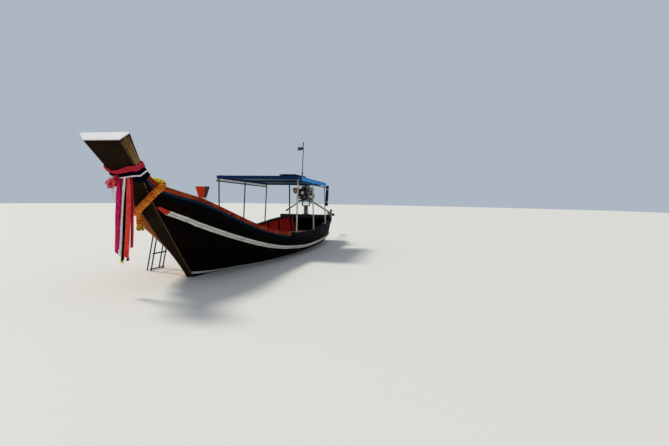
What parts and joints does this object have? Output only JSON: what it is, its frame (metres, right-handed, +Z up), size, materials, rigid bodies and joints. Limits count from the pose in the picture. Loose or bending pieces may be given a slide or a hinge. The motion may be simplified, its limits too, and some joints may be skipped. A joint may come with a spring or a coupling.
{
  "type": "long-tail boat",
  "caption": "Wooden long-tail boat afloat, with raised prow, sashes and garland, canopy, and an engine on a swivel with a long tail shaft and propeller.",
  "frame": {"origin": "on the waterline, on the centreline, amidships (4.0 m aft of where the stem meets the water)", "axes": "+X towards the bow, +Y to port, +Z up; the water's surface is the plane z = 0"},
  "size_m": [13.0075, 2.1621, 2.9876],
  "materials": {
    "hull_wood": "near-black dark brown varnish over planks",
    "stem_wood": "dark brown varnish",
    "deck_wood": "worn oiled boards",
    "red_paint": "rust red paint, worn",
    "teal_paint": "dark teal paint",
    "white_paint": "white paint, slightly worn",
    "navy_paint": "dark navy paint",
    "steel": "weathered galvanised steel",
    "engine_iron": "oily dark iron",
    "bronze": "dull bronze",
    "blue_cloth": "sky blue awning cloth",
    "white_cloth": "white awning cloth",
    "navy_cloth": "dark navy tarpaulin",
    "sash_cloth": "satin sashes, crimson, white, navy, magenta and coral",
    "flowers": "marigold heads, orange and yellow"
  },
  "bodies": {
    "hull": {"keel_stem": "stem_wood", "transom": "hull_wood", "bottom_planking_port": "hull_wood", "bottom_planking_starboard": "hull_wood", "topside_planking_port": "hull_wood", "topside_planking_starboard": "hull_wood", "gunwale_port": "red_paint", "gunwale_starboard": "red_paint", "sheer_band_port": "teal_paint", "sheer_band_starboard": "teal_paint", "rubbing_strake_port": "white_paint", "rubbing_strake_starboard": "white_paint", "prow_board": "stem_wood", "prow_end": "white_paint", "foredeck": "deck_wood", "fore_bulkhead": "deck_wood", "floorboards": "deck_wood", "aft_deck": "deck_wood", "thwart_1": "white_paint", "thwart_2": "white_paint", "thwart_3": "white_paint", "mooring_bitt": "red_paint", "engine_beam": "deck_wood", "engine_post": "steel", "canopy_roof": "navy_paint", "canopy_post_1_port": "navy_paint", "canopy_post_1_starboard": "navy_paint", "canopy_post_2_port": "navy_paint", "canopy_post_2_starboard": "navy_paint", "canopy_post_3_port": "navy_paint", "canopy_post_3_starboard": "navy_paint", "canopy_side_rail_port": "navy_paint", "canopy_side_rail_starboard": "navy_paint", "stern_post_starboard": "navy_paint", "valance_port": "blue_cloth", "valance_starboard": "white_cloth", "flag_mast": "steel", "flag": "white_cloth", "boarding_ladder": "steel", "roof_tarp": "navy_cloth", "curtain_roll": "navy_cloth", "sash_wrap": "sash_cloth", "sash_tails": "sash_cloth", "garland": "flowers"},
    "swivel": {"swivel_yoke": "steel"},
    "engine_unit": {"engine_cradle": "steel", "engine": "engine_iron", "tail_tube": "steel", "tiller": "steel"},
    "propeller": {"propeller": "bronze"}
  },
  "joints": [
    {"name": "engine_swivel", "type": "hinge", "parent": "hull", "child": "swivel", "pos_m": [-3.26, 0, 1.1], "axis": [0, 0, 1], "range_deg": [-35, 35]},
    {"name": "engine_tilt", "type": "hinge", "parent": "swivel", "child": "engine_unit", "pos_m": [-3.26, 0, 1.27], "axis": [0, 1, 0], "range_deg": [-17, 8]},
    {"name": "propeller_spin", "type": "hinge", "parent": "engine_unit", "child": "propeller", "pos_m": [-6.56, 0, 0.776], "axis": [-0.9845, 0, -0.1752], "continuous": true}
  ]
}
